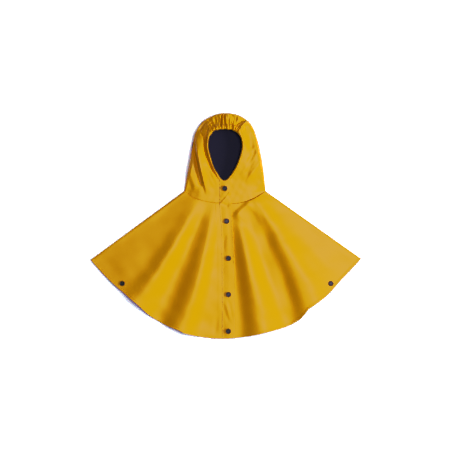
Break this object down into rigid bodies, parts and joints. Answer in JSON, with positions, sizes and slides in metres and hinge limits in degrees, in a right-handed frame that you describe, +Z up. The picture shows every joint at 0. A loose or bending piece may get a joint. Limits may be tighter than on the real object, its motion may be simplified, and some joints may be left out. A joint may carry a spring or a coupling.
{
  "type": "rain cape",
  "caption": "Child's hooded rain cape laid flat: wide rounded body in folds, snap placket, three-panel hood with a gathered face edge.",
  "frame": {"origin": "on the surface that the cape lies on, under the middle of its outline", "axes": "+X to the wearer's left, +Y to the top of the hood, +Z up and away from the surface, out of the cape's front"},
  "size_m": [0.813, 0.6779, 0.035],
  "materials": {
    "coated_cloth": "smooth polyurethane coating, satin sheen, navy knitted reverse",
    "snap": "satin navy lacquer"
  },
  "bodies": {
    "root": {"back_panel": "coated_cloth", "front_right": "coated_cloth", "front_left": "coated_cloth", "hood_right": "coated_cloth", "hood_left": "coated_cloth", "hood_centre": "coated_cloth", "hood_casing": "coated_cloth", "placket": "coated_cloth", "snap_front_1": "snap", "snap_front_2": "snap", "snap_front_3": "snap", "snap_front_4": "snap", "snap_front_5": "snap", "snap_side_right": "snap", "snap_side_left": "snap"}
  },
  "joints": []
}
